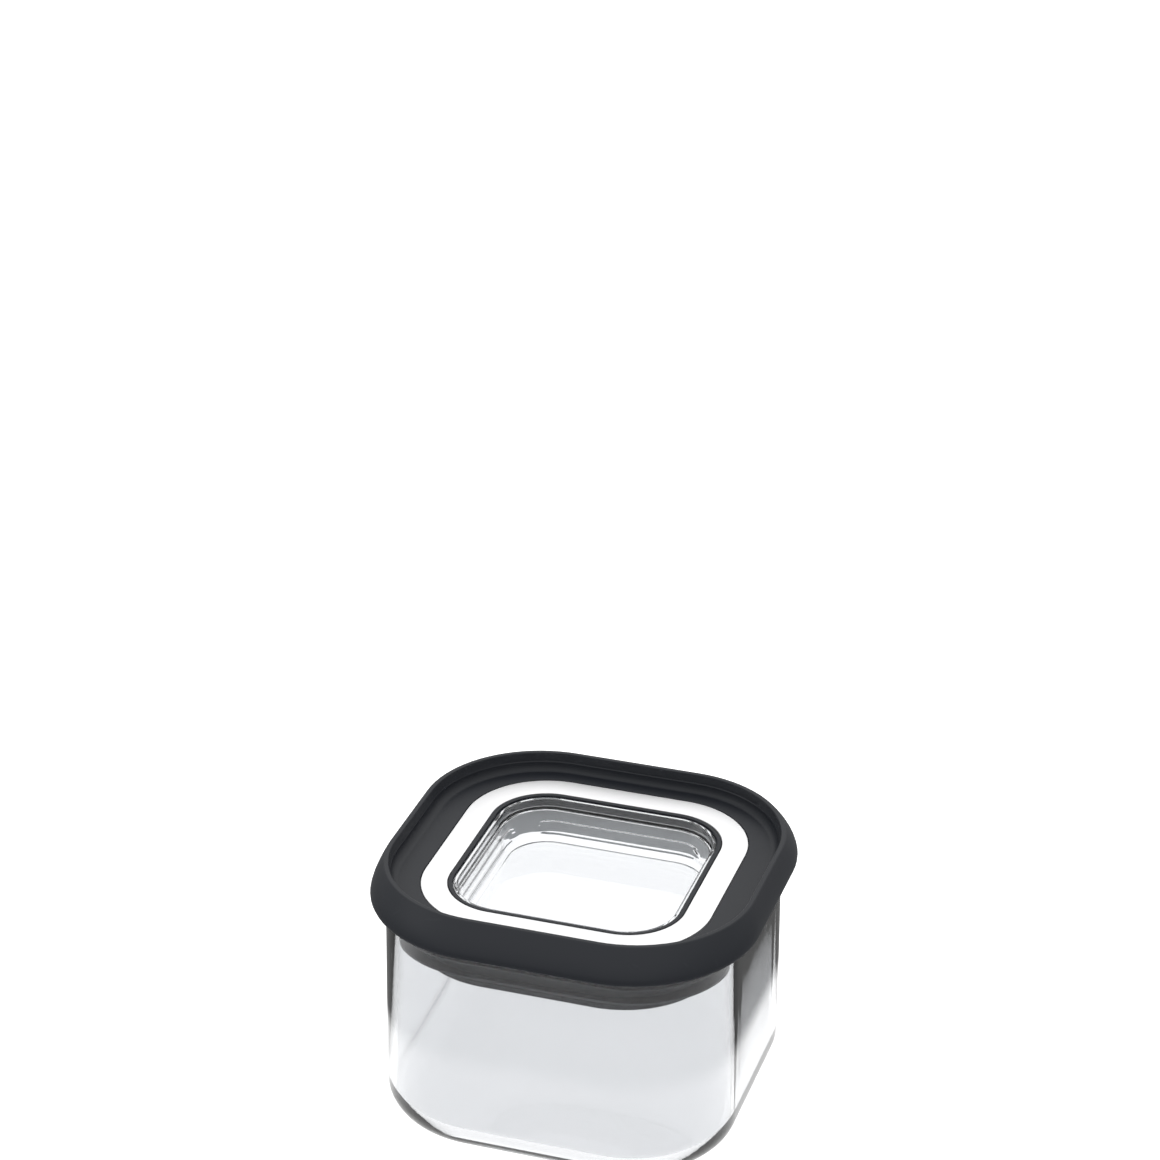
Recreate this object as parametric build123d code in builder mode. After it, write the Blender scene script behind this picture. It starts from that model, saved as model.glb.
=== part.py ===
# Square glass canister with an airtight window lid.
# Millimetres. Origin at the centre of the jar's base, +Z up through the lid.
import os
from build123d import *

os.makedirs("parts", exist_ok=True)

# Glass jar: a rounded square, a hair wider at the base than at the mouth
JAR_BASE_HALF = 48.5
JAR_MOUTH_HALF = 48.1
JAR_CORNER = 29.0
JAR_TOP = 64.0
JAR_WALL = 2.0
JAR_FLOOR = 3.2
JAR_BASE_EDGE = 8.0
JAR_INNER_EDGE = 6.5
JAR_LIP_ROUND = 0.9
FOOT_HALF = 37.0
FOOT_CORNER = 20.0
FOOT_SLOPE = 20.0
FOOT_RECESS = 0.7

# Heights through the lid
FLOOR_TOP = 66.7
RIM_TOP = 72.1
SEAT_HEIGHT = 64.3
SKIRT_BOTTOM = 62.9
PLUG_BOTTOM = 49.3

# Lid frame: the outer face swells to its widest line, then leans in to the crest.
# The front and back lean in more than the sides.
CREST_X = 50.2
CREST_Y = 46.6
CREST_CORNER = 32.5
CREST_WIDTH = 1.3
WIDEST_X = 52.9
WIDEST_Y = 51.9
WIDEST_HEIGHT = 64.4
WIDEST_CORNER = 35.0
SKIRT_X = 52.0
SKIRT_Y = 51.1
SKIRT_CORNER = 34.0
SKIRT_WALL = 1.8
RECESS_X = 48.2
RECESS_Y = 45.2
RECESS_CORNER = 31.0
FLOOR_FILLET = 2.4
FACE_LEVELS = 7
SKIRT_CURVE = 2.0
CREST_CURVE = 1.5

# Steel trim ring, let into a groove, and the lip inside it
RING_HALF = 39.5
RING_CORNER = 23.0
RING_OPENING = 32.45
RING_OPENING_CORNER = 15.75
RING_THICK = 0.8
RING_EDGE = 0.2
GROOVE_GAP = 0.25
LIP_HALF = 31.05
LIP_CORNER = 14.35

# Clear window tray
TRAY_CENTRE = LIP_HALF - LIP_CORNER
TRAY_TOP = 66.2
TRAY_OUTER = 30.9
TRAY_OUTER_FOOT = 30.2
TRAY_RIM = 29.8
TRAY_POCKET = 29.2
TRAY_FOOT = 28.5
SHOULDER_HEIGHT = 63.1
TRAY_FLOOR = 54.4
TRAY_BASE = 52.9
TRAY_INNER_EDGE = 3.0
TRAY_OUTER_EDGE = 2.0
FLANGE_HALF = 36.8
FLANGE_TOP = 63.6
FLANGE_BOTTOM = 62.4
PAD_LENGTH = 46.0
PAD_HEIGHT = 4.2
PAD_LEVEL = 57.0
PAD_FACE = 30.9
PAD_DEPTH = 1.2
PAD_COUNT = 4

# Window seal, plug collar and the jar seal round it
WINDOW_SEAL_HALF = 36.4
WINDOW_SEAL_INNER = 32.2
PLUG_HALF = 41.6
PLUG_CORNER = 26.0
PLUG_WALL = 2.2
PLUG_EDGE = 1.0
LEDGE_INNER = 33.0
LEDGE_CORNER = 16.0
LEDGE_THICK = 1.2
RIB_REACH = 1.5
RIB_HEIGHT = 0.9
SEAL_BOTTOM = 52.6
SEAL_TOP = 60.6
SEAL_BODY = 43.4
SEAL_REACH = 45.6
SEAL_REACH_CORNER = 26.7
LIP_BASE = 53.1
LIP_COUNT = 2
LIP_SPACING = 3.9
LIP_RISE = 1.5
LIP_EDGE = 0.6


def face_height(level):
    """Height of one level of the lid's outer face, from the skirt to the crest."""
    return SKIRT_BOTTOM + (RIM_TOP - SKIRT_BOTTOM) * level / FACE_LEVELS


def swell(height, skirt, widest, crest):
    """Half-width (or corner radius) of the lid's outer face at a height."""
    if height < WIDEST_HEIGHT:
        below = (WIDEST_HEIGHT - height) / (WIDEST_HEIGHT - SKIRT_BOTTOM)
        return widest - (widest - skirt) * below**SKIRT_CURVE
    above = (height - WIDEST_HEIGHT) / (RIM_TOP - WIDEST_HEIGHT)
    return widest - (widest - crest) * above**CREST_CURVE


# --- glass jar -------------------------------------------------------------
with BuildPart() as jar_cavity:
    with BuildSketch(Plane.XY.offset(JAR_FLOOR)):
        RectangleRounded(2 * (JAR_BASE_HALF - JAR_WALL), 2 * (JAR_BASE_HALF - JAR_WALL),
                         JAR_CORNER - JAR_WALL)
    with BuildSketch(Plane.XY.offset(JAR_TOP)):
        RectangleRounded(2 * (JAR_MOUTH_HALF - JAR_WALL), 2 * (JAR_MOUTH_HALF - JAR_WALL),
                         JAR_CORNER - JAR_WALL)
    loft(ruled=True)
    fillet(jar_cavity.edges().group_by(Axis.Z)[0], radius=JAR_INNER_EDGE)

with BuildPart() as glass_jar:
    with BuildSketch(Plane.XY):
        RectangleRounded(2 * JAR_BASE_HALF, 2 * JAR_BASE_HALF, JAR_CORNER)
    with BuildSketch(Plane.XY.offset(JAR_TOP)):
        RectangleRounded(2 * JAR_MOUTH_HALF, 2 * JAR_MOUTH_HALF, JAR_CORNER)
    loft(ruled=True)
    fillet(glass_jar.edges().group_by(Axis.Z)[0], radius=JAR_BASE_EDGE)
    add(jar_cavity.part, mode=Mode.SUBTRACT)
    # the rim is fire-polished round
    fillet(glass_jar.edges().group_by(Axis.Z)[-1], radius=JAR_LIP_ROUND)
    # the jar stands on a ring, so the middle of the base is pressed up
    with BuildSketch(Plane.XY):
        RectangleRounded(2 * FOOT_HALF, 2 * FOOT_HALF, FOOT_CORNER)
    with BuildSketch(Plane.XY.offset(FOOT_RECESS)):
        RectangleRounded(2 * (FOOT_HALF - FOOT_SLOPE), 2 * (FOOT_HALF - FOOT_SLOPE), FOOT_CORNER / 2)
    loft(ruled=True, mode=Mode.SUBTRACT)

# --- lid frame -------------------------------------------------------------
with BuildPart() as lid_recess:
    with BuildSketch(Plane.XY.offset(FLOOR_TOP)):
        RectangleRounded(2 * RECESS_X, 2 * RECESS_Y, RECESS_CORNER)
    with BuildSketch(Plane.XY.offset(RIM_TOP)):
        RectangleRounded(2 * (CREST_X - CREST_WIDTH), 2 * (CREST_Y - CREST_WIDTH), CREST_CORNER - CREST_WIDTH)
    loft(ruled=True)
    fillet(lid_recess.edges().group_by(Axis.Z)[0], radius=FLOOR_FILLET)

with BuildPart() as lid_frame:
    # outer face, built up level by level
    for level in range(FACE_LEVELS + 1):
        with BuildSketch(Plane.XY.offset(face_height(level))):
            RectangleRounded(
                2 * swell(face_height(level), SKIRT_X, WIDEST_X, CREST_X),
                2 * swell(face_height(level), SKIRT_Y, WIDEST_Y, CREST_Y),
                swell(face_height(level), SKIRT_CORNER, WIDEST_CORNER, CREST_CORNER),
            )
    loft(ruled=True)
    add(lid_recess.part, mode=Mode.SUBTRACT)
    # hollow under the seat, so the skirt hangs round the jar's rim
    with BuildSketch(Plane.XY.offset(SKIRT_BOTTOM)):
        RectangleRounded(2 * (SKIRT_X - SKIRT_WALL), 2 * (SKIRT_Y - SKIRT_WALL), SKIRT_CORNER - SKIRT_WALL)
    extrude(amount=SEAT_HEIGHT - SKIRT_BOTTOM, mode=Mode.SUBTRACT)
    # groove for the steel ring
    with BuildSketch(Plane.XY.offset(FLOOR_TOP)):
        RectangleRounded(2 * (RING_HALF + GROOVE_GAP), 2 * (RING_HALF + GROOVE_GAP), RING_CORNER + GROOVE_GAP)
        RectangleRounded(2 * (RING_OPENING - GROOVE_GAP), 2 * (RING_OPENING - GROOVE_GAP),
                         RING_OPENING_CORNER - GROOVE_GAP, mode=Mode.SUBTRACT)
    extrude(amount=-RING_THICK, mode=Mode.SUBTRACT)
    # window opening
    with BuildSketch(Plane.XY.offset(FLOOR_TOP)):
        RectangleRounded(2 * LIP_HALF, 2 * LIP_HALF, LIP_CORNER)
    extrude(amount=SEAT_HEIGHT - FLOOR_TOP, mode=Mode.SUBTRACT)

# --- steel trim ring -------------------------------------------------------
with BuildPart() as steel_ring:
    with BuildSketch(Plane.XY.offset(FLOOR_TOP - RING_THICK)):
        RectangleRounded(2 * RING_HALF, 2 * RING_HALF, RING_CORNER)
        RectangleRounded(2 * RING_OPENING, 2 * RING_OPENING, RING_OPENING_CORNER, mode=Mode.SUBTRACT)
    extrude(amount=RING_THICK)
    fillet(steel_ring.edges().group_by(Axis.Z)[-1], radius=RING_EDGE)

# --- clear window tray -----------------------------------------------------
with BuildPart() as tray_pocket:
    with BuildSketch(Plane.XY.offset(TRAY_FLOOR)):
        RectangleRounded(2 * TRAY_FOOT, 2 * TRAY_FOOT, TRAY_FOOT - TRAY_CENTRE)
    with BuildSketch(Plane.XY.offset(SHOULDER_HEIGHT)):
        RectangleRounded(2 * TRAY_POCKET, 2 * TRAY_POCKET, TRAY_POCKET - TRAY_CENTRE)
    loft(ruled=True)
    fillet(tray_pocket.edges().group_by(Axis.Z)[0], radius=TRAY_INNER_EDGE)
    with BuildSketch(Plane.XY.offset(SHOULDER_HEIGHT)):
        RectangleRounded(2 * TRAY_RIM, 2 * TRAY_RIM, TRAY_RIM - TRAY_CENTRE)
    extrude(amount=TRAY_TOP - SHOULDER_HEIGHT)

with BuildPart() as window_tray:
    with BuildSketch(Plane.XY.offset(TRAY_BASE)):
        RectangleRounded(2 * TRAY_OUTER_FOOT, 2 * TRAY_OUTER_FOOT, TRAY_OUTER_FOOT - TRAY_CENTRE)
    with BuildSketch(Plane.XY.offset(TRAY_TOP)):
        RectangleRounded(2 * TRAY_OUTER, 2 * TRAY_OUTER, TRAY_OUTER - TRAY_CENTRE)
    loft(ruled=True)
    fillet(window_tray.edges().group_by(Axis.Z)[0], radius=TRAY_OUTER_EDGE)
    with BuildSketch(Plane.XY.offset(FLANGE_BOTTOM)):
        RectangleRounded(2 * FLANGE_HALF, 2 * FLANGE_HALF, FLANGE_HALF - TRAY_CENTRE)
    extrude(amount=FLANGE_TOP - FLANGE_BOTTOM)
    # a long rounded pad moulded on the outside of each wall
    with BuildSketch(Plane.XZ.offset(PAD_FACE)):
        with Locations((0, PAD_LEVEL)):
            SlotOverall(PAD_LENGTH, PAD_HEIGHT)
    pad = extrude(amount=-PAD_DEPTH, mode=Mode.PRIVATE)
    with PolarLocations(0, PAD_COUNT):
        add(pad)
    add(tray_pocket.part, mode=Mode.SUBTRACT)

# --- window seal -----------------------------------------------------------
with BuildPart() as window_seal:
    with BuildSketch(Plane.XY.offset(FLANGE_TOP)):
        RectangleRounded(2 * WINDOW_SEAL_HALF, 2 * WINDOW_SEAL_HALF, WINDOW_SEAL_HALF - TRAY_CENTRE)
        RectangleRounded(2 * WINDOW_SEAL_INNER, 2 * WINDOW_SEAL_INNER,
                         WINDOW_SEAL_INNER - TRAY_CENTRE, mode=Mode.SUBTRACT)
    extrude(amount=SEAT_HEIGHT - FLANGE_TOP)

# --- plug collar -----------------------------------------------------------
with BuildPart() as plug_collar:
    with BuildSketch(Plane.XY.offset(PLUG_BOTTOM)):
        RectangleRounded(2 * PLUG_HALF, 2 * PLUG_HALF, PLUG_CORNER)
    extrude(amount=SEAT_HEIGHT - PLUG_BOTTOM)
    fillet(plug_collar.edges().group_by(Axis.Z)[0], radius=PLUG_EDGE)
    # two ribs that hold the jar seal between them
    with BuildSketch(Plane.XY.offset(SEAL_BOTTOM - RIB_HEIGHT), Plane.XY.offset(SEAL_TOP)):
        RectangleRounded(2 * (PLUG_HALF + RIB_REACH), 2 * (PLUG_HALF + RIB_REACH), PLUG_CORNER + RIB_REACH)
    extrude(amount=RIB_HEIGHT)
    # open middle
    with BuildSketch(Plane.XY.offset(PLUG_BOTTOM)):
        RectangleRounded(2 * (PLUG_HALF - PLUG_WALL), 2 * (PLUG_HALF - PLUG_WALL), PLUG_CORNER - PLUG_WALL)
    extrude(amount=SEAT_HEIGHT - PLUG_BOTTOM, mode=Mode.SUBTRACT)
    # a ledge inside carries the tray's flange
    with BuildSketch(Plane.XY.offset(FLANGE_BOTTOM - LEDGE_THICK)):
        RectangleRounded(2 * PLUG_HALF, 2 * PLUG_HALF, PLUG_CORNER)
        RectangleRounded(2 * LEDGE_INNER, 2 * LEDGE_INNER, LEDGE_CORNER, mode=Mode.SUBTRACT)
    extrude(amount=LEDGE_THICK)

# --- jar seal --------------------------------------------------------------
with BuildPart() as jar_seal:
    with BuildSketch(Plane.XY.offset(SEAL_BOTTOM)):
        RectangleRounded(2 * SEAL_BODY, 2 * SEAL_BODY, PLUG_CORNER + SEAL_BODY - PLUG_HALF)
    extrude(amount=SEAL_TOP - SEAL_BOTTOM)
    # two soft lips, each a flared skirt with a thin edge
    for lip in range(LIP_COUNT):
        with BuildSketch(Plane.XY.offset(LIP_BASE + lip * LIP_SPACING)):
            RectangleRounded(2 * SEAL_BODY, 2 * SEAL_BODY, PLUG_CORNER + SEAL_BODY - PLUG_HALF)
        with BuildSketch(Plane.XY.offset(LIP_BASE + lip * LIP_SPACING + LIP_RISE)):
            RectangleRounded(2 * SEAL_REACH, 2 * SEAL_REACH, SEAL_REACH_CORNER)
        loft(ruled=True)
        with BuildSketch(Plane.XY.offset(LIP_BASE + lip * LIP_SPACING + LIP_RISE)):
            RectangleRounded(2 * SEAL_REACH, 2 * SEAL_REACH, SEAL_REACH_CORNER)
        extrude(amount=LIP_EDGE)
    with BuildSketch(Plane.XY.offset(SEAL_BOTTOM)):
        RectangleRounded(2 * PLUG_HALF, 2 * PLUG_HALF, PLUG_CORNER)
    extrude(amount=SEAL_TOP - SEAL_BOTTOM, mode=Mode.SUBTRACT)

# --- files -----------------------------------------------------------------
glass_jar.part.label = "glass_jar"
export_step(glass_jar.part, "parts/glass_jar.step")

lid_frame.part.label = "lid_frame"
export_step(lid_frame.part, "parts/lid_frame.step")

steel_ring.part.label = "steel_ring"
export_step(steel_ring.part, "parts/steel_ring.step")

window_tray.part.label = "window_tray"
export_step(window_tray.part, "parts/window_tray.step")

window_seal.part.label = "window_seal"
export_step(window_seal.part, "parts/window_seal.step")

plug_collar.part.label = "plug_collar"
export_step(plug_collar.part, "parts/plug_collar.step")

jar_seal.part.label = "jar_seal"
export_step(jar_seal.part, "parts/jar_seal.step")
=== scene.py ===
# %% [markdown]
# # A square glass canister with a window lid
#
# The canister is a low, rounded-square jar of clear glass. Its lid is a dark plastic
# frame with a plug that drops into the jar's mouth, a soft seal round that plug, a flat
# steel trim ring, and a clear tray sunk in the middle that works as a window.
#
# The CAD model is the frame: it settles every size and says which pieces move together.
# This file gives each piece its finished surface: the small rounded edges that catch
# light, and the glass, steel, plastic and silicone that they are made of.

# %% Load the frame
import math

import bmesh
import bpy
import numpy as np
from mathutils import Matrix, Vector


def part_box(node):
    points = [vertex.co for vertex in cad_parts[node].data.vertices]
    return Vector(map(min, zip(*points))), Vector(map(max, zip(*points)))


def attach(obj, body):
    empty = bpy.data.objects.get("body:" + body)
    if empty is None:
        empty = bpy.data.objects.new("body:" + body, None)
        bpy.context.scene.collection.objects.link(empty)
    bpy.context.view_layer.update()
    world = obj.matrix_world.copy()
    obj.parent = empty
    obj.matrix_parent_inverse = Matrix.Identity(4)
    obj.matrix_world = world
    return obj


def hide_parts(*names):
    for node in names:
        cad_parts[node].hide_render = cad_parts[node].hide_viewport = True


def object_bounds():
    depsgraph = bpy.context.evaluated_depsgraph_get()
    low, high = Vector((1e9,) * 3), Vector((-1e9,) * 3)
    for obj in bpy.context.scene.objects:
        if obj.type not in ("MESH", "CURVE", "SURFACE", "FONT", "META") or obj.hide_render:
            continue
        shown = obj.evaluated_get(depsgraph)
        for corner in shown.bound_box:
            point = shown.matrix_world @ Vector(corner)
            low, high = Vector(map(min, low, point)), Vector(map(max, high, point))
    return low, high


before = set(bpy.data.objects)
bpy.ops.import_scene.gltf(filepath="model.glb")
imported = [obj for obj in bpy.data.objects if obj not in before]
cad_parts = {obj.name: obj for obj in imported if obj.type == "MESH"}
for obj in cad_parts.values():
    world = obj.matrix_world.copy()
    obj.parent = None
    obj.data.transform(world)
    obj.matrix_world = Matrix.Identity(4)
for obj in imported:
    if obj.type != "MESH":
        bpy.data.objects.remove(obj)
cad_box = [list(corner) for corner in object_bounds()]
MM = 0.001
print("CAD box in mm:", [[round(value / MM, 1) for value in corner] for corner in cad_box])

# %% [markdown]
# ## Reading sizes from the frame
#
# Each CAD piece knows its own box. Half-widths and heights are read from it, so this
# file can't drift from the CAD. Only what a box can't tell, such as a corner radius or
# a wall, is written here as a named value in millimetres.


# %% Sizes of a piece
def half_x(node):
    """Half the width of a CAD piece, in millimetres."""
    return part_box(node)[1][0] / MM


def half_y(node):
    """Half the depth of a CAD piece, in millimetres."""
    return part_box(node)[1][1] / MM


def bottom(node):
    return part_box(node)[0][2] / MM


def top(node):
    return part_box(node)[1][2] / MM


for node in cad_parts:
    size = f"{2 * half_x(node):.1f} x {2 * half_y(node):.1f}"
    print(f"{node}: {size}, from {bottom(node):.1f} to {top(node):.1f} mm")

# %% [markdown]
# ## Rounded squares, stacked
#
# Every piece of this canister is the same idea: a section carried round a square with
# round corners. So one tool makes them all. A level is a rounded rectangle at a height,
# written as two half-widths, a corner radius and a height. A list of levels walks round
# the section of the piece, and a skin over the levels is its surface.
#
# A subdivision surface would also give soft corners, but it pulls flat faces and fits
# out of true, and clear glass shows every such ripple. Exact arcs don't.

# %% A level, and a ring of points round it
CORNER_STEPS = 20
SIDE_STEPS = 10


def level(wide, deep, corner, height):
    """A rounded rectangle at a height: half-widths in X and Y and the corner radius, in mm."""
    return np.array((wide, deep, corner, height), float)


def square(half, corner, height):
    """A rounded square at a height."""
    return level(half, half, corner, height)


def ring_points(shape, side_steps=SIDE_STEPS):
    """Points round one level, in metres: four corner arcs, with the straight sides divided between them."""
    wide, deep, corner, height = shape
    arcs = []
    for quarter in range(4):
        side_x = 1 if quarter in (0, 3) else -1
        side_y = 1 if quarter in (0, 1) else -1
        turns = (quarter + np.linspace(0, 1, CORNER_STEPS + 1)) * math.pi / 2
        x = side_x * (wide - corner) + corner * np.cos(turns)
        y = side_y * (deep - corner) + corner * np.sin(turns)
        arcs.append(np.stack((x, y), axis=1))
    points = []
    for quarter in range(4):
        start = arcs[quarter][-1]
        end = arcs[(quarter + 1) % 4][0]
        along = np.linspace(0, 1, side_steps + 1)[1:-1, None]
        points.append(arcs[quarter])
        points.append(start + (end - start) * along)
    flat = np.concatenate(points)
    return np.column_stack((flat, np.full(len(flat), height))) * MM


print(len(ring_points(square(40, 20, 0))), "points round each level")

# %% [markdown]
# Sharp corners in the section look wrong at once, because moulded and pressed edges are
# never sharp: a narrow highlight runs along each. `soften` swaps a corner of the section
# for an arc of the given radius. The arc is written as a weighted curve with one control
# point, which is exact for a circle and lets the two half-widths and the corner radius
# ride along with it.


# %% Round the corners of a section
def soften(corners, steps=6, closed=True):
    """Rounds a section. Each entry is (level, radius in mm); a radius of 0 keeps the corner sharp."""
    levels = []
    for index, (corner, radius) in enumerate(corners):
        at_end = not closed and index in (0, len(corners) - 1)
        if radius == 0 or at_end:
            levels.append(corner)
            continue
        legs = []
        for neighbour in (corners[index - 1][0], corners[(index + 1) % len(corners)][0]):
            leg = neighbour - corner
            legs.append(leg / math.hypot(leg[0], leg[3]))
        cosine = legs[0][0] * legs[1][0] + legs[0][3] * legs[1][3]
        half_angle = math.acos(max(-1, min(1, cosine))) / 2
        reach = radius / math.tan(half_angle)
        pull = math.sin(half_angle)
        for step in range(steps + 1):
            share = step / steps
            first = (1 - share) ** 2
            middle = 2 * share * (1 - share) * pull
            last = share**2
            start = corner + legs[0] * reach
            end = corner + legs[1] * reach
            levels.append((first * start + middle * corner + last * end) / (first + middle + last))
    return levels


# %% Skin a stack of levels
def skin(name, levels, closed=True, side_steps=SIDE_STEPS):
    """A smooth mesh over the levels. A closed section makes a ring; an open one is capped at both ends."""
    loops = [ring_points(shape, side_steps) for shape in levels]
    count = len(loops[0])
    faces = []
    for lower in range(len(loops) if closed else len(loops) - 1):
        upper = (lower + 1) % len(loops)
        for index in range(count):
            following = (index + 1) % count
            faces.append((lower * count + index, lower * count + following,
                          upper * count + following, upper * count + index))
    if not closed:
        faces.append(tuple(range(count)))
        faces.append(tuple(range((len(loops) - 1) * count, len(loops) * count)))
    mesh = bpy.data.meshes.new(name)
    mesh.from_pydata(np.concatenate(loops).tolist(), [], faces)
    shell = bmesh.new()
    shell.from_mesh(mesh)
    bmesh.ops.recalc_face_normals(shell, faces=shell.faces)
    shell.to_mesh(mesh)
    shell.free()
    mesh.shade_smooth()
    mesh.set_sharp_from_angle(angle=math.radians(32))
    piece = bpy.data.objects.new(name, mesh)
    bpy.context.scene.collection.objects.link(piece)
    print(f"{name}: {len(levels)} levels, {len(mesh.polygons)} faces")
    return piece


# %% [markdown]
# ## The glass jar
#
# The jar is pressed glass about 2 mm thick. It widens by a hair towards the base, its
# rim is melted round by flame, and its foot is a ring, because a pressed-up middle keeps
# a glass base from rocking. The inside corner at the floor has its own, smaller radius,
# and the extra glass in that corner is what bends light into the bright and dark bands
# seen low on the jar.

# %% Jar shape
JAR_CORNER = 29.0
JAR_WALL = 2.0
JAR_TAPER = 0.4
JAR_FLOOR = 3.2
BASE_EDGE = 8.0
INNER_EDGE = 6.5
FOOT_HALF = 37.0
FOOT_CORNER = 20.0
FOOT_SLOPE = 20.0
FOOT_RECESS = 0.7
FOOT_MIDDLE = 9.0
FOOT_MIDDLE_CORNER = 3.0
FOOT_INNER_BLEND = 150
FOOT_OUTER_BLEND = 40
JAR_LIP_ROUND = 0.95
FLOOR_MIDDLE = 30.0
FLOOR_MIDDLE_CORNER = 11.0

jar_half = half_x("glass_jar")
mouth_half = jar_half - JAR_TAPER
jar_top = top("glass_jar")
jar_section = [
    (square(FOOT_MIDDLE, FOOT_MIDDLE_CORNER, FOOT_RECESS), 0),
    (square(FOOT_HALF - FOOT_SLOPE, FOOT_CORNER / 2, FOOT_RECESS), FOOT_INNER_BLEND),
    (square(FOOT_HALF, FOOT_CORNER, 0), FOOT_OUTER_BLEND),
    (square(jar_half, JAR_CORNER, 0), BASE_EDGE),
    (square(mouth_half, JAR_CORNER, jar_top), JAR_LIP_ROUND),
    (square(mouth_half - JAR_WALL, JAR_CORNER - JAR_WALL, jar_top), JAR_LIP_ROUND),
    (square(jar_half - JAR_WALL, JAR_CORNER - JAR_WALL, JAR_FLOOR), INNER_EDGE),
    (square(FLOOR_MIDDLE, FLOOR_MIDDLE_CORNER, JAR_FLOOR), 0),
]
jar = skin("jar_glass_body", soften(jar_section, steps=14, closed=False), closed=False)
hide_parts("glass_jar")
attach(jar, "jar")

# %% [markdown]
# ## The lid frame
#
# The frame is one plastic moulding. Its outer face swells to a widest line low down,
# then leans in to a narrow crest, more at the front and back than at the sides. Inside
# the crest a wall drops to a flat floor, through a soft fillet, with a faint parting
# step halfway down where the two halves of the mould met.
#
# The outer face could be one arc, but it would meet the skirt in a crease. A power curve
# that starts level at the widest line has no crease, so its highlight stays unbroken.

# %% Lid frame shape
CREST_X = 50.2
CREST_Y = 46.6
CREST_CORNER = 32.5
CREST_WIDTH = 1.3
WIDEST_HEIGHT = 64.4
WIDEST_CORNER = 35.0
SKIRT_DRAFT = 0.85
SKIRT_WALL = 1.8
RECESS_X = 48.2
RECESS_Y = 45.2
RECESS_CORNER = 31.0
FLOOR_FILLET = 2.4
PARTING_STEP = 0.18
PARTING_HALF_HEIGHT = 0.12
FACE_LEVELS = 16
SKIRT_CURVE = 2
CREST_CURVE = 1.5

floor_top = top("steel_ring")
rim_top = top("lid_frame")
skirt_bottom = bottom("lid_frame")
seat_height = top("plug_collar")
widest_x = half_x("lid_frame")
widest_y = half_y("lid_frame")
skirt_edge = level(widest_x - SKIRT_DRAFT, widest_y - SKIRT_DRAFT, WIDEST_CORNER - 1, skirt_bottom)
widest_line = level(widest_x, widest_y, WIDEST_CORNER, WIDEST_HEIGHT)
crest_edge = level(CREST_X, CREST_Y, CREST_CORNER, rim_top)


def outer_face(height):
    """The lid's outer face at a height, in mm."""
    if height < WIDEST_HEIGHT:
        share = ((WIDEST_HEIGHT - height) / (WIDEST_HEIGHT - skirt_bottom)) ** SKIRT_CURVE
        shape = widest_line + (skirt_edge - widest_line) * share
    else:
        share = ((height - WIDEST_HEIGHT) / (rim_top - WIDEST_HEIGHT)) ** CREST_CURVE
        shape = widest_line + (crest_edge - widest_line) * share
    shape[3] = height
    return shape


def inward(shape, distance, height):
    """The same outline moved in by a distance, at another height."""
    return level(shape[0] - distance, shape[1] - distance, shape[2] - distance, height)


skirt_inside = inward(skirt_edge, SKIRT_WALL, skirt_bottom)
crest_inside = inward(crest_edge, CREST_WIDTH, rim_top)
recess_foot = level(RECESS_X, RECESS_Y, RECESS_CORNER, floor_top)
parting = (crest_inside + recess_foot) / 2

# %% [markdown]
# The trim ring lies in a groove with a quarter of a millimetre of air on each side. That
# hairline gap is dark on the real lid, so the groove is real here too.

# %% Groove and window lip
RING_CORNER = 23.0
RING_OPENING = 32.45
RING_OPENING_CORNER = 15.75
GROOVE_GAP = 0.25
LIP_HALF = 31.05
LIP_CORNER = 14.35

ring_half = half_x("steel_ring")
groove_floor = bottom("steel_ring")
groove_outside = ring_half + GROOVE_GAP
groove_outside_corner = RING_CORNER + GROOVE_GAP
groove_inside = RING_OPENING - GROOVE_GAP
groove_inside_corner = RING_OPENING_CORNER - GROOVE_GAP

frame_section = [(skirt_inside, 0.4), (skirt_edge, 0.5)]
for step in range(1, FACE_LEVELS):
    frame_section.append((outer_face(skirt_bottom + (rim_top - skirt_bottom) * step / FACE_LEVELS), 0))
frame_section += [
    (crest_edge, 0.45),
    (crest_inside, 0.35),
    (parting + (0, 0, 0, PARTING_HALF_HEIGHT), 0),
    (parting - (PARTING_STEP, PARTING_STEP, PARTING_STEP, PARTING_HALF_HEIGHT), 0),
    (recess_foot, FLOOR_FILLET),
    (square(groove_outside, groove_outside_corner, floor_top), 0.12),
    (square(groove_outside, groove_outside_corner, groove_floor), 0),
    (square(groove_inside, groove_inside_corner, groove_floor), 0),
    (square(groove_inside, groove_inside_corner, floor_top), 0.12),
    (square(LIP_HALF, LIP_CORNER, floor_top), 0.25),
    (square(LIP_HALF, LIP_CORNER, seat_height), 0),
    (inward(skirt_inside, 0, seat_height), 0.3),
]
lid_body = skin("lid_frame_body", soften(frame_section))
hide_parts("lid_frame")
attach(lid_body, "lid")

# %% [markdown]
# ## The steel trim ring
#
# The ring is stamped from sheet 0.8 mm thick. Stamping rounds the top edge a little, and
# that edge is what draws the thin bright line round the ring.

# %% Trim ring shape
trim_ring = skin("steel_trim_ring", soften([
    (square(ring_half, RING_CORNER, floor_top), 0.18),
    (square(RING_OPENING, RING_OPENING_CORNER, floor_top), 0.18),
    (square(RING_OPENING, RING_OPENING_CORNER, groove_floor), 0),
    (square(ring_half, RING_CORNER, groove_floor), 0),
]))
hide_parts("steel_ring")
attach(trim_ring, "lid")

# %% [markdown]
# ## The window tray
#
# The window is a clear moulded tray: a rim, a small shoulder, a tapering wall and a flat
# floor, with a flange outside that is clamped under the lid. Each wall carries a long
# rounded pad on its outside. A pad could be a separate solid joined by a boolean, but in
# clear plastic the leftover inner faces would show. Here the wall's own points move out
# by half a millimetre inside the pad's outline, so the plastic stays one skin.

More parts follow.
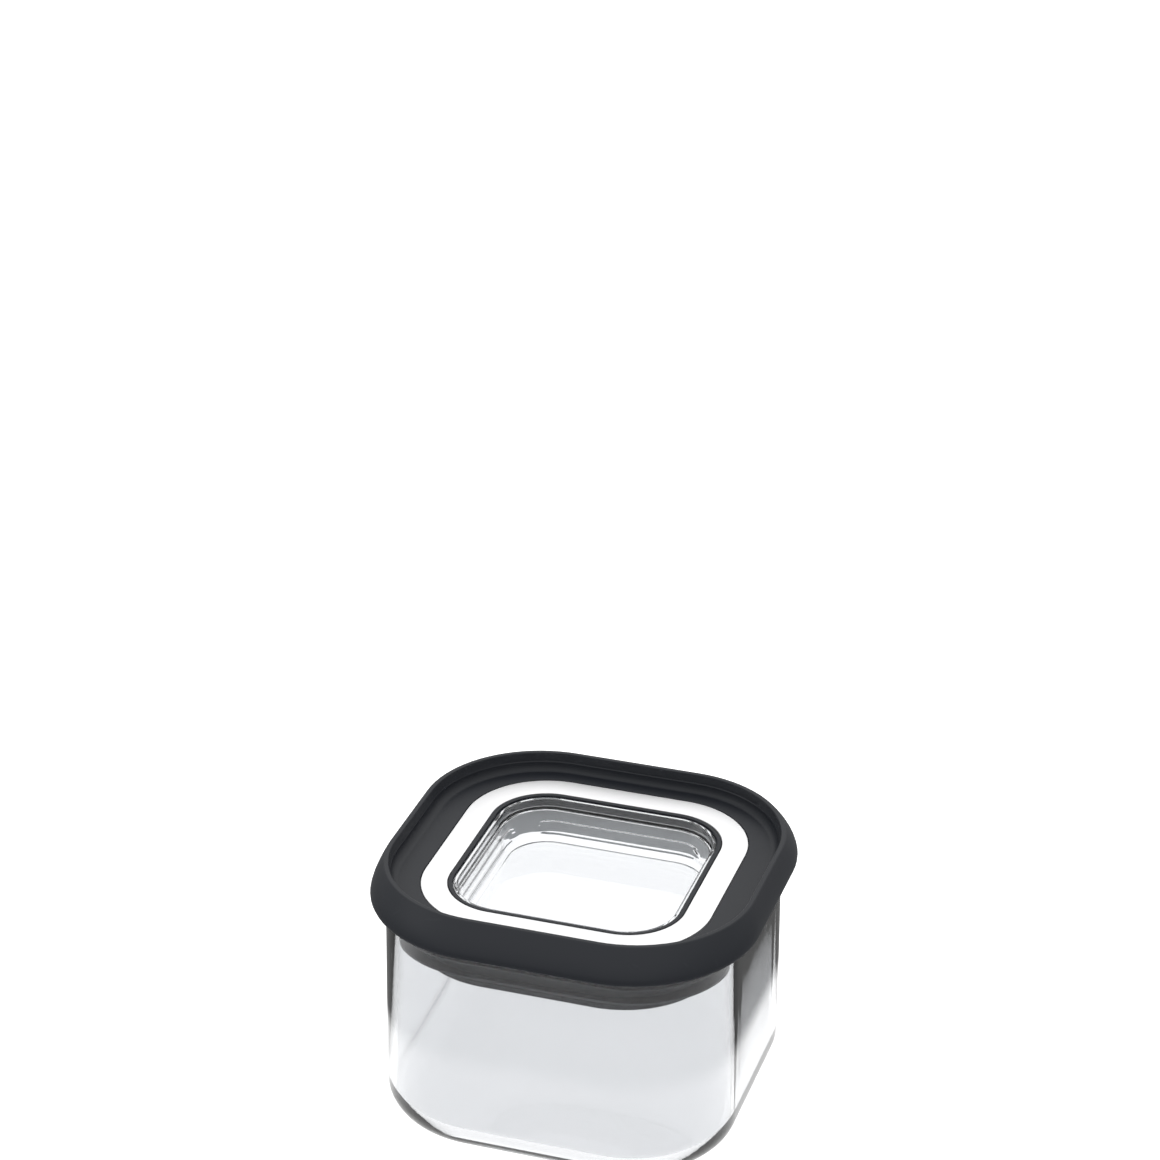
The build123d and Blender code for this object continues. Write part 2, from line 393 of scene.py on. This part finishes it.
# %% Window tray shape
TRAY_CENTRE = LIP_HALF - LIP_CORNER
TRAY_RIM = 29.8
TRAY_POCKET = 29.2
TRAY_FOOT = 28.5
TRAY_OUTER = 30.9
TRAY_OUTER_FOOT = 30.2
TRAY_FLOOR = 54.4
TRAY_INNER_EDGE = 3.0
TRAY_OUTER_EDGE = 2.0
SHOULDER_HEIGHT = 63.1
FLANGE_TOP = 63.6
FLANGE_BOTTOM = 62.4
PAD_HALF_LENGTH = 23.0
PAD_HALF_HEIGHT = 2.1
PAD_HEIGHT = 57.0
PAD_RELIEF = 0.5
PAD_EDGE = 0.45
PAD_LEVELS = 30
FLANGE_ROOT = 0.6
TRAY_MIDDLE = 20


def tray_level(half, height):
    """A level of the tray. All its corners turn about the same four centres."""
    return square(half, half - TRAY_CENTRE, height)


tray_base = bottom("window_tray")
tray_top = top("window_tray")
wall_foot = tray_base + TRAY_OUTER_EDGE
wall_head = FLANGE_BOTTOM - FLANGE_ROOT
tray_section = [
    (tray_level(TRAY_MIDDLE, tray_base), 0),
    (tray_level(TRAY_OUTER_FOOT, tray_base), TRAY_OUTER_EDGE),
]
for step in range(PAD_LEVELS + 1):
    height = wall_foot + (wall_head - wall_foot) * step / PAD_LEVELS
    share = (height - tray_base) / (tray_top - tray_base)
    tray_section.append((tray_level(TRAY_OUTER_FOOT + (TRAY_OUTER - TRAY_OUTER_FOOT) * share, height), 0))
tray_section += [
    (tray_level(TRAY_OUTER - 0.25, FLANGE_BOTTOM), 0.3),
    (tray_level(half_x("window_tray"), FLANGE_BOTTOM), 0.3),
    (tray_level(half_x("window_tray"), FLANGE_TOP), 0.3),
    (tray_level(TRAY_OUTER - 0.15, FLANGE_TOP), 0.2),
    (tray_level(TRAY_OUTER, tray_top), 0.3),
    (tray_level(TRAY_RIM, tray_top), 0.3),
    (tray_level(TRAY_RIM, SHOULDER_HEIGHT), 0.15),
    (tray_level(TRAY_POCKET, SHOULDER_HEIGHT), 0.25),
    (tray_level(TRAY_FOOT, TRAY_FLOOR), TRAY_INNER_EDGE),
    (tray_level(TRAY_MIDDLE, TRAY_FLOOR), 0),
]
tray = skin("window_tray_body", soften(tray_section, steps=8, closed=False), closed=False, side_steps=44)


# %% [markdown]
# The pad's outline is a stadium: every point within a set distance of a short straight
# spine. The relief fades over the last half millimetre, so the pad has a rounded edge
# that catches light, like the edge that a mould leaves.

# %% Raise the pads on the tray's walls
def pad_relief(points):
    """How far each point of the tray's outer wall stands out, in metres."""
    x, y, height = np.abs(points.T) / MM
    beyond = np.maximum(0, np.minimum(x, y) - (PAD_HALF_LENGTH - PAD_HALF_HEIGHT))
    from_spine = np.hypot(beyond, height - PAD_HEIGHT)
    share = np.clip((PAD_HALF_HEIGHT - from_spine) / PAD_EDGE + 0.5, 0, 1)
    return PAD_RELIEF * MM * share * share * (3 - 2 * share)


count = len(tray.data.vertices)
points = np.empty(count * 3)
normals = np.empty(count * 3)
tray.data.vertices.foreach_get("co", points)
tray.data.vertices.foreach_get("normal", normals)
points = points.reshape(count, 3)
normals = normals.reshape(count, 3)
outward = (points[:, :2] * normals[:, :2]).sum(axis=1) > 0
on_wall = (points[:, 2] / MM > wall_foot - 0.1) & (points[:, 2] / MM < FLANGE_BOTTOM - 0.5)
on_outside = np.maximum(np.abs(points[:, 0]), np.abs(points[:, 1])) / MM > TRAY_CENTRE
relief = pad_relief(points) * (outward & on_wall & on_outside)
points[:, :2] += normals[:, :2] * relief[:, None]
tray.data.vertices.foreach_set("co", points.ravel())
tray.data.update()
print("points raised for the pads:", int((relief > 0).sum()))
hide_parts("window_tray")
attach(tray, "lid")

# %% [markdown]
# ## The plug, its seal and the window seal
#
# Under the frame hangs the plug collar, an open skirt with a ledge inside that carries the
# tray, and two ribs outside. The jar seal sits between the ribs and reaches for the glass
# with two thin lips. Thin lips bend, so the lid slides in easily and still shuts tight.
# The window seal is a flat washer clamped between the tray's flange and the frame.

# %% Plug collar shape
PLUG_HALF = 41.6
PLUG_CORNER = 26.0
PLUG_WALL = 2.2
LEDGE_INNER = 33.0
LEDGE_CORNER = 16.0
LEDGE_THICK = 1.2
RIB_HEIGHT = 0.9

plug_bottom = bottom("plug_collar")
rib_half = half_x("plug_collar")
seal_bottom = bottom("jar_seal")
seal_top = top("jar_seal")
ledge_bottom = FLANGE_BOTTOM - LEDGE_THICK


def plug_level(half, height):
    """A level of the plug. All its corners turn about the same four centres."""
    return square(half, half - PLUG_HALF + PLUG_CORNER, height)


collar = skin("plug_collar_body", soften([
    (plug_level(PLUG_HALF, plug_bottom), 0.9),
    (plug_level(PLUG_HALF, seal_bottom - RIB_HEIGHT), 0.15),
    (plug_level(rib_half, seal_bottom - RIB_HEIGHT), 0.25),
    (plug_level(rib_half, seal_bottom), 0.25),
    (plug_level(PLUG_HALF, seal_bottom), 0),
    (plug_level(PLUG_HALF, seal_top), 0),
    (plug_level(rib_half, seal_top), 0.25),
    (plug_level(rib_half, seal_top + RIB_HEIGHT), 0.25),
    (plug_level(PLUG_HALF, seal_top + RIB_HEIGHT), 0.15),
    (plug_level(PLUG_HALF, seat_height), 0),
    (plug_level(PLUG_HALF - PLUG_WALL, seat_height), 0),
    (plug_level(PLUG_HALF - PLUG_WALL, FLANGE_BOTTOM), 0),
    (square(LEDGE_INNER, LEDGE_CORNER, FLANGE_BOTTOM), 0.2),
    (square(LEDGE_INNER, LEDGE_CORNER, ledge_bottom), 0.2),
    (plug_level(PLUG_HALF - PLUG_WALL, ledge_bottom), 0.8),
    (plug_level(PLUG_HALF - PLUG_WALL, plug_bottom), 0.9),
]))
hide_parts("plug_collar")
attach(collar, "lid")

# %% Jar seal shape
SEAL_BODY = 43.4
SEAL_CORNER = 26.7
LIP_BASE = 53.1
LIP_RISE = 1.5
LIP_SPACING = 3.9
LIP_EDGE = 0.6

seal_reach = half_x("jar_seal")
seal_section = [(plug_level(PLUG_HALF, seal_bottom), 0), (plug_level(SEAL_BODY, seal_bottom), 0.4)]
for lip in range(2):
    lip_foot = LIP_BASE + lip * LIP_SPACING
    lip_tip = lip_foot + LIP_RISE
    seal_section += [
        (plug_level(SEAL_BODY, lip_foot), 0.2),
        (square(seal_reach, SEAL_CORNER, lip_tip), 0.15),
        (square(seal_reach, SEAL_CORNER, lip_tip + LIP_EDGE), 0.2),
        (plug_level(SEAL_BODY, lip_tip + 0.1), 0.3),
    ]
seal_section += [(plug_level(SEAL_BODY, seal_top), 0.4), (plug_level(PLUG_HALF, seal_top), 0)]
lip_seal = skin("jar_lip_seal", soften(seal_section))
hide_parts("jar_seal")
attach(lip_seal, "lid")

# %% Window seal shape
WINDOW_SEAL_INNER = 32.2

washer_half = half_x("window_seal")
washer = skin("window_washer", soften([
    (tray_level(washer_half, bottom("window_seal")), 0.15),
    (tray_level(washer_half, top("window_seal")), 0.15),
    (tray_level(WINDOW_SEAL_INNER, top("window_seal")), 0.15),
    (tray_level(WINDOW_SEAL_INNER, bottom("window_seal")), 0.15),
]))
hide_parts("window_seal")
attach(washer, "lid")

# %% [markdown]
# ## Shared surface effects
#
# Two effects turn up on several materials, so each is a node group with named inputs.
#
# *Moulded grain* is the fine, even roughness that a spark-eroded mould leaves on plastic
# and silicone: tiny bumps, and a slow drift in gloss over a few centimetres.
#
# *Handling marks* are hair scratches from wiping and stacking. Each is a thin level of a
# stretched noise, kept only here and there, so they break up without repeating.


# %% Helpers for node trees
def add_socket(group, name, direction, kind="NodeSocketFloat", value=None):
    socket = group.interface.new_socket(name=name, in_out=direction, socket_type=kind)
    if value is not None:
        socket.default_value = value
    return socket


def add_node(tree, kind, **values):
    """Adds a node and sets its properties; an input socket is named by its label."""
    node = tree.nodes.new(kind)
    for name, value in values.items():
        if hasattr(node, name):
            setattr(node, name, value)
        else:
            node.inputs[name.replace("_", " ")].default_value = value
    return node


# %% Node group: moulded grain
def make_moulded_grain():
    group = bpy.data.node_groups.new("moulded_grain", "ShaderNodeTree")
    add_socket(group, "Grain Size mm", "INPUT", value=0.35)
    add_socket(group, "Gloss Drift", "INPUT", value=0.05)
    add_socket(group, "Base Roughness", "INPUT", value=0.4)
    add_socket(group, "Height", "OUTPUT")
    add_socket(group, "Roughness", "OUTPUT")
    inside = add_node(group, "NodeGroupInput")
    outside = add_node(group, "NodeGroupOutput")
    place = add_node(group, "ShaderNodeTexCoord")
    per_metre = add_node(group, "ShaderNodeMath", operation="DIVIDE")
    per_metre.inputs[0].default_value = 1 / MM
    group.links.new(inside.outputs["Grain Size mm"], per_metre.inputs[1])
    grain = add_node(group, "ShaderNodeTexNoise", Detail=3.0, Roughness=0.6)
    drift = add_node(group, "ShaderNodeTexNoise", Scale=55.0, Detail=2.0)
    swing = add_node(group, "ShaderNodeMath", operation="MULTIPLY_ADD")
    for source, target in (
        (place.outputs["Object"], grain.inputs["Vector"]),
        (place.outputs["Object"], drift.inputs["Vector"]),
        (per_metre.outputs[0], grain.inputs["Scale"]),
        (grain.outputs["Fac"], outside.inputs["Height"]),
        (drift.outputs["Fac"], swing.inputs[0]),
        (inside.outputs["Gloss Drift"], swing.inputs[1]),
        (inside.outputs["Base Roughness"], swing.inputs[2]),
        (swing.outputs[0], outside.inputs["Roughness"]),
    ):
        group.links.new(source, target)
    return group


moulded_grain = make_moulded_grain()
print("group:", moulded_grain.name)


# %% Node group: handling marks
def make_handling_marks():
    group = bpy.data.node_groups.new("handling_marks", "ShaderNodeTree")
    add_socket(group, "Amount", "INPUT", value=0.5)
    add_socket(group, "Marks per Metre", "INPUT", value=90.0)
    add_socket(group, "Marks", "OUTPUT")
    inside = add_node(group, "NodeGroupInput")
    outside = add_node(group, "NodeGroupOutput")
    place = add_node(group, "ShaderNodeTexCoord")
    total = None
    for angle in (0.4, 1.9, 2.7):
        turn = add_node(group, "ShaderNodeMapping")
        turn.inputs["Rotation"].default_value = (0.3 * angle, 0.2, angle)
        turn.inputs["Scale"].default_value = (0.12, 4.0, 1.0)
        streak = add_node(group, "ShaderNodeTexNoise", Detail=1.0)
        hair = add_node(group, "ShaderNodeMapRange", interpolation_type="SMOOTHSTEP")
        hair.inputs["From Min"].default_value = 0.735
        hair.inputs["From Max"].default_value = 0.77
        group.links.new(place.outputs["Object"], turn.inputs["Vector"])
        group.links.new(turn.outputs["Vector"], streak.inputs["Vector"])
        group.links.new(inside.outputs["Marks per Metre"], streak.inputs["Scale"])
        group.links.new(streak.outputs["Fac"], hair.inputs["Value"])
        if total is None:
            total = hair.outputs[0]
        else:
            both = add_node(group, "ShaderNodeMath", operation="MAXIMUM")
            group.links.new(total, both.inputs[0])
            group.links.new(hair.outputs[0], both.inputs[1])
            total = both.outputs[0]
    fade = add_node(group, "ShaderNodeMath", operation="MULTIPLY")
    group.links.new(total, fade.inputs[0])
    group.links.new(inside.outputs["Amount"], fade.inputs[1])
    group.links.new(fade.outputs[0], outside.inputs["Marks"])
    return group


handling_marks = make_handling_marks()
print("group:", handling_marks.name)


# %% Start a material, and place a group in it
def start_material(name):
    material = bpy.data.materials.new(name)
    material.use_nodes = True
    tree = material.node_tree
    return material, tree, tree.nodes["Principled BSDF"]


def place_group(tree, group, **values):
    node = tree.nodes.new("ShaderNodeGroup")
    node.node_tree = group
    for name, value in values.items():
        node.inputs[name.replace("_", " ")].default_value = value
    return node


def bump_from(tree, height, strength, distance_mm):
    """A bump node fed by a height socket."""
    bump = tree.nodes.new("ShaderNodeBump")
    bump.inputs["Strength"].default_value = strength
    bump.inputs["Distance"].default_value = distance_mm * MM
    tree.links.new(height, bump.inputs["Height"])
    return bump


def finish_piece(piece, material):
    piece.data.materials.clear()
    piece.data.materials.append(material)
    print(f"{piece.name}: {material.name}")


# %% [markdown]
# ## Clear glass
#
# Household glass is never quite colourless: a long way through it turns a cool grey
# green. So the surface has a very light tint, and the body absorbs a little more red
# than blue. A pressed wall also isn't dead flat. A slow, shallow bump bends what is seen
# through it, the way a real jar does.

# %% Glass material
def make_jar_glass():
    material, tree, shader = start_material("clear_pressed_glass")
    shader.inputs["Base Color"].default_value = (0.72, 0.727, 0.74, 1)
    shader.inputs["Transmission Weight"].default_value = 1.0
    shader.inputs["IOR"].default_value = 1.5
    place = add_node(tree, "ShaderNodeTexCoord")
    slow = add_node(tree, "ShaderNodeTexNoise", Scale=38.0, Detail=1.0)
    tree.links.new(place.outputs["Object"], slow.inputs["Vector"])
    bump = bump_from(tree, slow.outputs["Fac"], 0.15, 0.2)
    marks = place_group(tree, handling_marks, Amount=0.06, Marks_per_Metre=60.0)
    polish = add_node(tree, "ShaderNodeMath", operation="ADD")
    polish.inputs[1].default_value = 0.012
    tree.links.new(marks.outputs["Marks"], polish.inputs[0])
    tree.links.new(polish.outputs[0], shader.inputs["Roughness"])
    tree.links.new(bump.outputs["Normal"], shader.inputs["Normal"])
    body = add_node(tree, "ShaderNodeVolumeAbsorption")
    body.inputs["Color"].default_value = (0.80, 0.87, 0.88, 1)
    body.inputs["Density"].default_value = 8.0
    tree.links.new(body.outputs["Volume"], tree.nodes["Material Output"].inputs["Volume"])
    return material


finish_piece(jar, make_jar_glass())

# %% [markdown]
# ## Dark lid plastic
#
# The frame is a charcoal plastic with a fine satin surface. Its colour is very dark, so
# what is seen is mostly the studio, blurred by the grain. That is why the grain, and not
# the colour, decides how it looks.

# %% Lid plastic material
def make_satin_plastic(name, colour, roughness):
    material, tree, shader = start_material(name)
    shader.inputs["IOR"].default_value = 1.38
    grain = place_group(tree, moulded_grain, Grain_Size_mm=0.3, Gloss_Drift=0.06, Base_Roughness=roughness)
    marks = place_group(tree, handling_marks, Amount=0.12, Marks_per_Metre=260.0)
    worn = add_node(tree, "ShaderNodeMix", data_type="RGBA")
    worn.inputs["A"].default_value = (*colour, 1)
    worn.inputs["B"].default_value = (*[value * 1.8 + 0.012 for value in colour], 1)
    bump = bump_from(tree, grain.outputs["Height"], 0.22, 0.03)
    for source, target in (
        (marks.outputs["Marks"], worn.inputs["Factor"]),
        (worn.outputs["Result"], shader.inputs["Base Color"]),
        (grain.outputs["Roughness"], shader.inputs["Roughness"]),
        (bump.outputs["Normal"], shader.inputs["Normal"]),
    ):
        tree.links.new(source, target)
    return material


finish_piece(lid_body, make_satin_plastic("charcoal_satin_plastic", (0.010, 0.012, 0.0165), 0.38))

# %% [markdown]
# The plug is dark outside and pale on its inner faces below the ledge. That paleness is
# painted light: it stands in for the brightness seen through the window. Both are the same
# satin plastic, so the same maker is used twice and the inner faces are given the pale one.

# %% Plug, with painted light on its inner faces
finish_piece(collar, make_satin_plastic("grey_satin_plastic", (0.016, 0.018, 0.022), 0.4))
# The pale inner colour is painted light, which keeps the view through the window bright.
collar.data.materials.append(make_satin_plastic("painted_light_inner_plastic", (0.46, 0.475, 0.49), 0.5))
painted_light_faces = 0
# Inward faces below the ledge take the painted light colour.
for face in collar.data.polygons:
    faces_in = face.normal.xy.dot(face.center.xy) < -0.5 * face.center.xy.length
    if faces_in and face.center.z / MM < ledge_bottom:
        face.material_index = 1
        painted_light_faces += 1
print("pale faces inside the plug:", painted_light_faces)

# %% [markdown]
# ## Brushed steel
#
# The ring is brushed in one direction before it is stamped. Fine scratches spread a
# highlight across the brushing, so the roughness is stretched along it, and a very fine
# streak pattern breaks it up.

# %% Steel material
def make_trim_steel():
    material, tree, shader = start_material("brushed_trim_steel")
    shader.inputs["Metallic"].default_value = 1.0
    shader.inputs["Anisotropic"].default_value = 0.3
    place = add_node(tree, "ShaderNodeTexCoord")
    stretch = add_node(tree, "ShaderNodeMapping")
    stretch.inputs["Scale"].default_value = (1.0, 60.0, 60.0)
    streaks = add_node(tree, "ShaderNodeTexNoise", Scale=120.0, Detail=4.0, Roughness=0.7)
    gloss = add_node(tree, "ShaderNodeMapRange")
    gloss.inputs["To Min"].default_value = 0.52
    gloss.inputs["To Max"].default_value = 0.6
    tone = add_node(tree, "ShaderNodeMix", data_type="RGBA")
    tone.inputs["A"].default_value = (0.93, 0.93, 0.935, 1)
    tone.inputs["B"].default_value = (0.965, 0.965, 0.97, 1)
    marks = place_group(tree, handling_marks, Amount=0.1, Marks_per_Metre=120.0)
    rubbed = add_node(tree, "ShaderNodeMath", operation="ADD")
    bump = bump_from(tree, streaks.outputs["Fac"], 0.08, 0.005)
    for source, target in (
        (place.outputs["Object"], stretch.inputs["Vector"]),
        (stretch.outputs["Vector"], streaks.inputs["Vector"]),
        (streaks.outputs["Fac"], gloss.inputs["Value"]),
        (streaks.outputs["Fac"], tone.inputs["Factor"]),
        (gloss.outputs["Result"], rubbed.inputs[0]),
        (marks.outputs["Marks"], rubbed.inputs[1]),
        (rubbed.outputs[0], shader.inputs["Roughness"]),
        (tone.outputs["Result"], shader.inputs["Base Color"]),
        (bump.outputs["Normal"], shader.inputs["Normal"]),
    ):
        tree.links.new(source, target)
    return material


finish_piece(trim_ring, make_trim_steel())

# %% [markdown]
# ## Clear window plastic
#
# The tray is a clear plastic with a lower index than glass. It shows the same kinds of
# marks as a wiped lid: faint hair scratches that only lift the roughness.

# %% Window material
def make_window_plastic():
    material, tree, shader = start_material("clear_window_plastic")
    shader.inputs["Base Color"].default_value = (0.985, 0.99, 0.995, 1)
    shader.inputs["Transmission Weight"].default_value = 1.0
    shader.inputs["IOR"].default_value = 1.46
    marks = place_group(tree, handling_marks, Amount=0.12, Marks_per_Metre=110.0)
    polish = add_node(tree, "ShaderNodeMath", operation="ADD")
    polish.inputs[1].default_value = 0.03
    place = add_node(tree, "ShaderNodeTexCoord")
    slow = add_node(tree, "ShaderNodeTexNoise", Scale=60.0, Detail=1.0)
    tree.links.new(place.outputs["Object"], slow.inputs["Vector"])
    bump = bump_from(tree, slow.outputs["Fac"], 0.1, 0.1)
    tree.links.new(marks.outputs["Marks"], polish.inputs[0])
    tree.links.new(polish.outputs[0], shader.inputs["Roughness"])
    tree.links.new(bump.outputs["Normal"], shader.inputs["Normal"])
    return material


finish_piece(tray, make_window_plastic())

# %% [markdown]
# ## Silicone seals
#
# Silicone is matt and a little see-through at its thin lips. A trace of light passing
# under the surface keeps the lips from looking like hard plastic.

# %% Silicone material
def make_silicone():
    material, tree, shader = start_material("soft_grey_silicone")
    shader.inputs["Base Color"].default_value = (0.062, 0.065, 0.071, 1)
    shader.inputs["Subsurface Weight"].default_value = 0.15
    shader.inputs["Subsurface Scale"].default_value = 0.6 * MM
    grain = place_group(tree, moulded_grain, Grain_Size_mm=0.22, Gloss_Drift=0.08, Base_Roughness=0.4)
    bump = bump_from(tree, grain.outputs["Height"], 0.2, 0.02)
    tree.links.new(grain.outputs["Roughness"], shader.inputs["Roughness"])
    tree.links.new(bump.outputs["Normal"], shader.inputs["Normal"])
    return material


silicone = make_silicone()
finish_piece(lip_seal, silicone)
finish_piece(washer, silicone)

# %% [markdown]
# ## The light table
#
# Clear glass is lit by what stands behind and below it. A white table that glows keeps
# the background pale and sends light up through the base, and it hides the shadow where
# the jar stands.
#
# A dark moulding above such a table mirrors it and turns grey, so a studio puts black
# cards a hand's width away. Cards would show in the other views. Here the table is dimmer
# to mirrored rays alone, and only to long ones. The rounded edge at the jar's foot mirrors
# the table close by, and would turn black if that were dimmed too.

# %% Floor
TABLE_SIZE = 6
TABLE_GAP = 0.02
TABLE_GLOW = 1.45
MIRRORED_TABLE = 0.12
CARD_NEAR = 45
CARD_FAR = 62


def make_floor():
    bpy.ops.mesh.primitive_plane_add(size=TABLE_SIZE, location=(0, 0, cad_box[0][2] - TABLE_GAP * MM))
    floor = bpy.context.object
    floor.name = "light_table"
    material, tree, shader = start_material("white_light_table")
    shader.inputs["Base Color"].default_value = (0.1, 0.1, 0.1, 1)
    shader.inputs["Roughness"].default_value = 0.9
    shader.inputs["Specular IOR Level"].default_value = 0.0
    shader.inputs["Emission Strength"].default_value = TABLE_GLOW
    rays = add_node(tree, "ShaderNodeLightPath")
    mirrored = add_node(tree, "ShaderNodeMath", operation="SUBTRACT", use_clamp=True)
    far = add_node(tree, "ShaderNodeMapRange", interpolation_type="SMOOTHSTEP")
    far.inputs["From Min"].default_value = CARD_NEAR * MM
    far.inputs["From Max"].default_value = CARD_FAR * MM
    carded = add_node(tree, "ShaderNodeMath", operation="MULTIPLY")
    glow = add_node(tree, "ShaderNodeMix", data_type="RGBA")
    glow.inputs["A"].default_value = (1, 1, 1, 1)
    glow.inputs["B"].default_value = (MIRRORED_TABLE, MIRRORED_TABLE, MIRRORED_TABLE, 1)
    tree.links.new(rays.outputs["Is Glossy Ray"], mirrored.inputs[0])
    tree.links.new(rays.outputs["Is Transmission Ray"], mirrored.inputs[1])
    tree.links.new(rays.outputs["Ray Length"], far.inputs["Value"])
    tree.links.new(mirrored.outputs[0], carded.inputs[0])
    tree.links.new(far.outputs["Result"], carded.inputs[1])
    tree.links.new(carded.outputs[0], glow.inputs["Factor"])
    tree.links.new(glow.outputs["Result"], shader.inputs["Emission Color"])
    finish_piece(floor, material)
    return floor


make_floor()

# %% [markdown]
# ## Studio light
#
# The room is a soft white tent. Its ceiling is a little brighter than its walls, so the
# steel ring shows almost white, and a dark moulding is lighter where it faces up than where
# it stands upright. The tent's sides are greyer, and glass edges pick that up: in an evenly
# white room they would vanish.
#
# A new world starts out nearly black, so its colour is set to white first. The strengths
# below then mean what they say.

# %% Tent
TENT_WALLS = 0.8
TENT_CEILING = 1.15
TENT_SIDES = 0.6
SIDES_START = 0.5
SIDES_FULL = 0.9
CEILING_START = 0.25
CEILING_FULL = 0.7


def make_tent():
    world = bpy.data.worlds.new("white_tent")
    bpy.context.scene.world = world
    world.use_nodes = True
    tree = world.node_tree
    background = tree.nodes["Background"]
    background.inputs["Color"].default_value = (1, 1, 1, 1)
    place = add_node(tree, "ShaderNodeTexCoord")
    parts = add_node(tree, "ShaderNodeSeparateXYZ")
    sideways = add_node(tree, "ShaderNodeMath", operation="ABSOLUTE")
    sides = add_node(tree, "ShaderNodeMapRange", interpolation_type="SMOOTHSTEP")
    sides.inputs["From Min"].default_value = SIDES_START
    sides.inputs["From Max"].default_value = SIDES_FULL
    sides.inputs["To Min"].default_value = TENT_WALLS
    sides.inputs["To Max"].default_value = TENT_SIDES
    ceiling = add_node(tree, "ShaderNodeMapRange", interpolation_type="SMOOTHSTEP")
    ceiling.inputs["From Min"].default_value = CEILING_START
    ceiling.inputs["From Max"].default_value = CEILING_FULL
    ceiling.inputs["To Min"].default_value = 0.0
    ceiling.inputs["To Max"].default_value = TENT_CEILING - TENT_WALLS
    total = add_node(tree, "ShaderNodeMath", operation="ADD")
    for source, target in (
        (place.outputs["Generated"], parts.inputs[0]),
        (parts.outputs["X"], sideways.inputs[0]),
        (sideways.outputs[0], sides.inputs["Value"]),
        (parts.outputs["Z"], ceiling.inputs["Value"]),
        (sides.outputs["Result"], total.inputs[0]),
        (ceiling.outputs["Result"], total.inputs[1]),
        (total.outputs[0], background.inputs["Strength"]),
    ):
        tree.links.new(source, target)
    return world


make_tent()
print(f"tent: walls {TENT_WALLS}, ceiling {TENT_CEILING}, sides {TENT_SIDES}")

# %% [markdown]
# A tent alone is so even that rounded edges lose their highlights. Two weak softboxes, one
# overhead and one from the left, put them back without casting a shadow that shows.


# %% Softboxes
def softbox(name, place, aim, size, watts):
    """A square area light at a place, turned to a point, both in metres."""
    light = bpy.data.lights.new(name, "AREA")
    light.size = size
    light.energy = watts
    lamp = bpy.data.objects.new(name, light)
    lamp.location = place
    lamp.rotation_euler = (Vector(aim) - Vector(place)).to_track_quat("-Z", "Y").to_euler()
    bpy.context.scene.collection.objects.link(lamp)
    return lamp


lid_centre = (0, 0, floor_top * MM)
softbox("overhead_softbox", (-0.1, 0.5, 0.9), lid_centre, 0.7, 0.8)
softbox("left_softbox", (-0.9, -0.4, 0.6), lid_centre, 0.5, 0.6)

# %% [markdown]
# ## Camera
#
# A long lens from about ninety centimetres keeps the square honest: its sides converge
# only slightly. The camera stands a little to the right of the front and looks down on
# the lid, aimed above it, so the canister sits low in the frame.

# %% Camera
CAMERA_AZIMUTH = math.radians(17.73)
CAMERA_ELEVATION = math.radians(26.16)
CAMERA_ROLL = math.radians(0.376)
CAMERA_DISTANCE = 922.3
CAMERA_AIM = (-12.15, 30.95, 67.48)
SENSOR_WIDTH = 36.0
LENS = 107.08


def make_camera():
    back = Vector((
        math.sin(CAMERA_AZIMUTH) * math.cos(CAMERA_ELEVATION),
        -math.cos(CAMERA_AZIMUTH) * math.cos(CAMERA_ELEVATION),
        math.sin(CAMERA_ELEVATION),
    ))
    level_right = Vector((math.cos(CAMERA_AZIMUTH), math.sin(CAMERA_AZIMUTH), 0))
    upward = back.cross(level_right)
    right = level_right * math.cos(CAMERA_ROLL) + upward * math.sin(CAMERA_ROLL)
    up = upward * math.cos(CAMERA_ROLL) - level_right * math.sin(CAMERA_ROLL)
    aim = Vector(lid_centre) + Vector(CAMERA_AIM) * MM
    data = bpy.data.cameras.new("camera")
    data.sensor_width = SENSOR_WIDTH
    data.lens = LENS
    camera = bpy.data.objects.new("camera", data)
    turn = Matrix((right, up, back)).transposed().to_4x4()
    camera.matrix_world = Matrix.Translation(aim + back * CAMERA_DISTANCE * MM) @ turn
    bpy.context.scene.collection.objects.link(camera)
    bpy.context.scene.camera = camera
    return camera


camera = make_camera()
print("camera at", [round(value, 4) for value in camera.location])

# %% [markdown]
# ## Picture settings
#
# The plain transform keeps white as white. Glass needs enough bounces for light to pass
# both walls of the jar and the tray and come back out.

# %% View and bounces
bpy.context.scene.view_settings.view_transform = "Standard"
bpy.context.scene.cycles.max_bounces = 24
bpy.context.scene.cycles.transmission_bounces = 20
bpy.context.scene.cycles.transparent_max_bounces = 16
